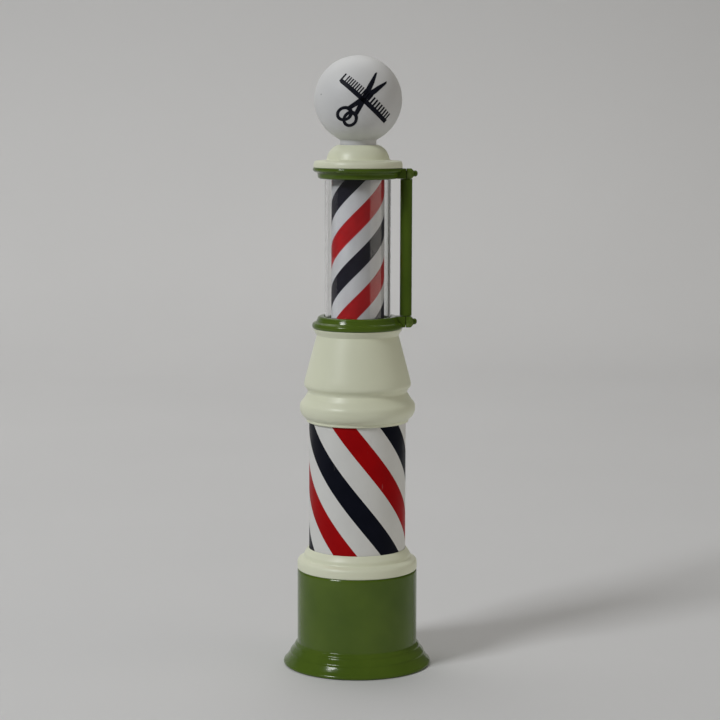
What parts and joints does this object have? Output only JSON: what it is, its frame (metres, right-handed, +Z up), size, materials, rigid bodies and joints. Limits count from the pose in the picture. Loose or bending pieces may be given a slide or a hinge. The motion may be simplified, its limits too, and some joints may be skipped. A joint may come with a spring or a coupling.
{
  "type": "barber pole light",
  "caption": "Tabletop barber pole light: green base, striped column, bell-shaped housing, clear lantern tube with a turning striped cylinder, side post and a white globe.",
  "frame": {"origin": "centre of the underside, on the axis of the column, at the level of the surface it stands on", "axes": "+Z up along the column; +X towards the side post; -Y towards the front that carries the globe's emblem; +Y towards the back panel"},
  "size_m": [0.1122, 0.1122, 0.46],
  "materials": {
    "green_enamel": "glossy olive green enamel on cast metal",
    "cream_enamel": "satin cream enamel on cast metal",
    "striped_sheet": "white sheet printed with red and navy stripes round the column",
    "striped_film": "white translucent cylinder printed with red and navy stripes",
    "clear_acrylic": "clear polished tube",
    "opal_globe": "satin opal white with a dark printed emblem",
    "black_plastic": "fine moulded grain",
    "white_plastic": "satin moulding",
    "gear_nylon": "natural nylon",
    "rubber_pad": "matt black rubber",
    "plated_steel": "zinc plated",
    "motor_case": "drawn steel can",
    "bush_brass": "turned brass",
    "cast_iron": "rough cast and painted dark",
    "circuit_board": "green solder mask",
    "lamp_diffuser": "frosted diffuser",
    "lead_cover": "flexible insulation"
  },
  "bodies": {
    "root": {"base_drum": "green_enamel", "base_plate": "plated_steel", "base_pad": "rubber_pad", "plate_screw_1": "plated_steel", "plate_screw_2": "plated_steel", "plate_screw_3": "plated_steel", "ballast_weight": "cast_iron", "ballast_screw": "plated_steel", "board_carrier": "white_plastic", "control_board": "circuit_board", "dc_inlet": "black_plastic", "inlet_nut": "plated_steel", "switch_body": "black_plastic", "collar_ring": "cream_enamel", "column_tube": "striped_sheet", "tie_rod": "plated_steel", "rod_nut_lower": "plated_steel", "rod_nut_upper": "plated_steel", "bell_housing": "cream_enamel", "drive_deck": "plated_steel", "deck_screw_1": "plated_steel", "deck_screw_2": "plated_steel", "deck_screw_3": "plated_steel", "gear_motor": "motor_case", "motor_screw_1": "plated_steel", "motor_screw_2": "plated_steel", "bush_lower": "bush_brass", "bush_upper": "bush_brass", "center_stem": "bush_brass", "stem_nut_lower": "bush_brass", "stem_nut_upper": "bush_brass", "led_sleeve": "lamp_diffuser", "lower_ring": "green_enamel", "upper_ring": "green_enamel", "tube_gasket_lower": "rubber_pad", "tube_gasket_upper": "rubber_pad", "clear_tube": "clear_acrylic", "side_post": "green_enamel", "clamp_cap_lower": "green_enamel", "clamp_cap_upper": "green_enamel", "clamp_screw_lower": "green_enamel", "clamp_screw_upper": "green_enamel", "top_plate": "plated_steel", "cap": "cream_enamel", "lamp_holder": "white_plastic", "globe_lamp": "lamp_diffuser", "globe_gasket": "rubber_pad", "globe": "opal_globe", "inlet_lead": "lead_cover", "switch_lead": "lead_cover", "motor_lead": "lead_cover", "lamp_lead": "lead_cover"},
    "spinner": {"spinner_gear": "gear_nylon", "spinner_base": "white_plastic", "striped_cylinder": "striped_film", "spinner_cap": "white_plastic"},
    "pinion": {"pinion": "gear_nylon", "motor_shaft": "plated_steel"},
    "rocker": {"switch_rocker": "black_plastic"}
  },
  "joints": [
    {"name": "cylinder_spin", "type": "hinge", "parent": "root", "child": "spinner", "pos_m": [0, 0, 0.2604], "axis": [0, 0, 1], "continuous": true},
    {"name": "pinion_spin", "type": "hinge", "parent": "root", "child": "pinion", "pos_m": [0, 0.0192, 0.2477], "axis": [0, 0, 1], "continuous": true},
    {"name": "switch_rock", "type": "hinge", "parent": "root", "child": "rocker", "pos_m": [0, 0.0415, 0.051], "axis": [-1, 0, 0], "range_deg": [0, 20]}
  ],
  "couplings": [
    {"joint": "pinion_spin", "follows": "cylinder_spin", "ratio": -3}
  ]
}
